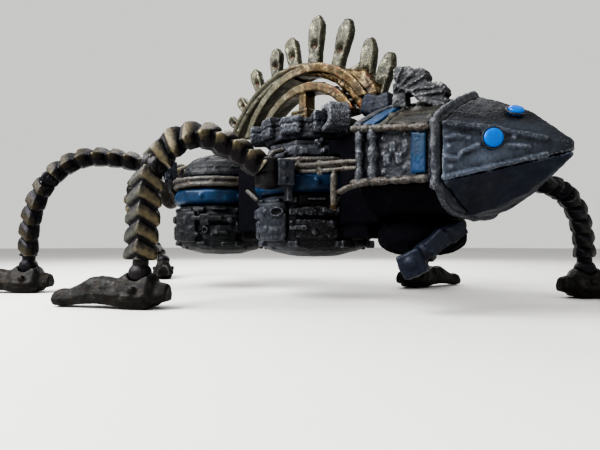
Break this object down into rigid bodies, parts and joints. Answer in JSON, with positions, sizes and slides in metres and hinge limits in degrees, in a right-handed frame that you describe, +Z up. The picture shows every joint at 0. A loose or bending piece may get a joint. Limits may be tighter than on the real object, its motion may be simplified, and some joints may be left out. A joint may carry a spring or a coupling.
{
  "type": "walking robot miniature",
  "caption": "Tabletop walking machine: wedge head, two round pods, spiked arched crest and jointed vertebra-chain legs on shoe-like feet.",
  "frame": {"origin": "bottom centre of the whole machine's box, on the surface it stands on", "axes": "+X towards the nose, +Y to the machine's left, +Z up"},
  "size_m": [0.1956, 0.1452, 0.0845],
  "materials": {
    "hull_paint": "matte, dry-brushed edges",
    "roof_paint": "satin, washed brown-grey",
    "trim_grey": "matte, pale dry-brushing",
    "enamel_blue": "satin, worn",
    "eye_blue": "gloss",
    "antique_gold": "satin with rust wash",
    "foliage_pewter": "rough, cast texture",
    "leg_bronze": "satin, dark recesses",
    "foot_dark": "satin"
  },
  "bodies": {
    "hull": {"spine_frame": "hull_paint", "front_pod_shell": "hull_paint", "front_pod_band": "enamel_blue", "front_pod_pipes": "trim_grey", "front_pod_upper": "hull_paint", "front_pod_crown": "hull_paint", "crown_hook_clamp": "trim_grey", "rear_pod_shell": "hull_paint", "rear_pod_band": "enamel_blue", "rear_pod_pipes": "trim_grey", "rear_pod_cap": "hull_paint", "pod_bridge": "hull_paint", "neck_bulkhead": "hull_paint", "tail_flange": "trim_grey", "belly_pod": "hull_paint", "belly_strut": "hull_paint", "neck_core": "hull_paint", "neck_rear_rib": "trim_grey", "neck_roof_band": "enamel_blue", "neck_roof": "roof_paint", "neck_floor": "hull_paint", "neck_side_left": "hull_paint", "neck_side_right": "hull_paint", "neck_side_band_left": "enamel_blue", "neck_side_band_right": "enamel_blue", "neck_rail_left": "trim_grey", "neck_rail_right": "trim_grey", "collar_rib": "trim_grey", "head_shell": "roof_paint", "head_keel": "hull_paint", "eye_side_left": "eye_blue", "eye_side_right": "eye_blue", "eye_top_left": "eye_blue", "eye_top_right": "eye_blue", "crest_ring": "antique_gold", "crest_hoop": "antique_gold", "crest_inner_arch": "antique_gold", "foliage_plate": "foliage_pewter", "hip_bracket_near_mid": "trim_grey", "hip_bracket_near_rear": "trim_grey", "hip_bracket_far_front": "trim_grey", "hip_bracket_far_mid": "trim_grey", "hip_bracket_far_rear": "trim_grey"},
    "thigh_near_mid": {"leg_upper_near_mid": "leg_bronze"},
    "shin_near_mid": {"leg_lower_near_mid": "leg_bronze"},
    "foot_near_mid": {"foot_near_mid": "foot_dark"},
    "thigh_near_rear": {"leg_upper_near_rear": "leg_bronze"},
    "shin_near_rear": {"leg_lower_near_rear": "leg_bronze"},
    "foot_near_rear": {"foot_near_rear": "foot_dark"},
    "thigh_far_front": {"leg_upper_far_front": "leg_bronze"},
    "shin_far_front": {"leg_lower_far_front": "leg_bronze"},
    "foot_far_front": {"foot_far_front": "foot_dark"},
    "thigh_far_mid": {"leg_upper_far_mid": "leg_bronze"},
    "shin_far_mid": {"leg_lower_far_mid": "leg_bronze"},
    "foot_far_mid": {"foot_far_mid": "foot_dark"},
    "thigh_far_rear": {"leg_upper_far_rear": "leg_bronze"},
    "shin_far_rear": {"leg_lower_far_rear": "leg_bronze"},
    "foot_far_rear": {"foot_far_rear": "foot_dark"}
  },
  "joints": [
    {"name": "hip_swing_near_mid", "type": "hinge", "parent": "hull", "child": "thigh_near_mid", "pos_m": [0.02377, -0.01746, 0.034], "axis": [0, 0, 1], "range_deg": [-15, 15]},
    {"name": "knee_near_mid", "type": "hinge", "parent": "thigh_near_mid", "child": "shin_near_mid", "pos_m": [0.01131, -0.04322, 0.03455], "axis": [0.8917, 0.3233, -0.3167], "range_deg": [-15, 15]},
    {"name": "ankle_near_mid", "type": "hinge", "parent": "shin_near_mid", "child": "foot_near_mid", "pos_m": [0.00988, -0.04618, 0.008], "axis": [0.5736, -0.8192, 0], "range_deg": [-12, 12]},
    {"name": "hip_swing_near_rear", "type": "hinge", "parent": "hull", "child": "thigh_near_rear", "pos_m": [-0.03983, -0.01576, 0.042], "axis": [0, 0, 1], "range_deg": [-15, 15]},
    {"name": "knee_near_rear", "type": "hinge", "parent": "thigh_near_rear", "child": "shin_near_rear", "pos_m": [-0.04912, -0.04904, 0.03666], "axis": [0.9632, -0.2689, 0], "range_deg": [-15, 15]},
    {"name": "ankle_near_rear", "type": "hinge", "parent": "shin_near_rear", "child": "foot_near_rear", "pos_m": [-0.05078, -0.05496, 0.008], "axis": [0.7071, -0.7071, 0], "range_deg": [-12, 12]},
    {"name": "hip_swing_far_front", "type": "hinge", "parent": "hull", "child": "thigh_far_front", "pos_m": [0.05347, 0.02824, 0.0325], "axis": [0, 0, 1], "range_deg": [-15, 15]},
    {"name": "knee_far_front", "type": "hinge", "parent": "thigh_far_front", "child": "shin_far_front", "pos_m": [0.07516, 0.04993, 0.03073], "axis": [-0.6194, 0.7695, 0.1558], "range_deg": [-15, 15]},
    {"name": "ankle_far_front", "type": "hinge", "parent": "shin_far_front", "child": "foot_far_front", "pos_m": [0.0802, 0.05496, 0.008], "axis": [-0.7071, 0.7071, 0], "range_deg": [-12, 12]},
    {"name": "hip_swing_far_mid", "type": "hinge", "parent": "hull", "child": "thigh_far_mid", "pos_m": [0.02157, 0.02694, 0.0384], "axis": [0, 0, 1], "range_deg": [-15, 15]},
    {"name": "knee_far_mid", "type": "hinge", "parent": "thigh_far_mid", "child": "shin_far_mid", "pos_m": [0.03388, 0.06483, 0.03089], "axis": [-0.9794, 0.0615, -0.1924], "range_deg": [-15, 15]},
    {"name": "ankle_far_mid", "type": "hinge", "parent": "shin_far_mid", "child": "foot_far_mid", "pos_m": [0.02852, 0.04834, 0.008], "axis": [-0.9744, 0.225, 0], "range_deg": [-12, 12]},
    {"name": "hip_swing_far_rear", "type": "hinge", "parent": "hull", "child": "thigh_far_rear", "pos_m": [-0.04833, 0.01264, 0.041], "axis": [0, 0, 1], "range_deg": [-15, 15]},
    {"name": "knee_far_rear", "type": "hinge", "parent": "thigh_far_rear", "child": "shin_far_rear", "pos_m": [-0.09369, -0.00037, 0.04117], "axis": [0.2756, -0.9613, 0], "range_deg": [-15, 15]},
    {"name": "ankle_far_rear", "type": "hinge", "parent": "shin_far_rear", "child": "foot_far_rear", "pos_m": [-0.07477, 0.00506, 0.008], "axis": [-0.5, -0.866, 0], "range_deg": [-12, 12]}
  ]
}
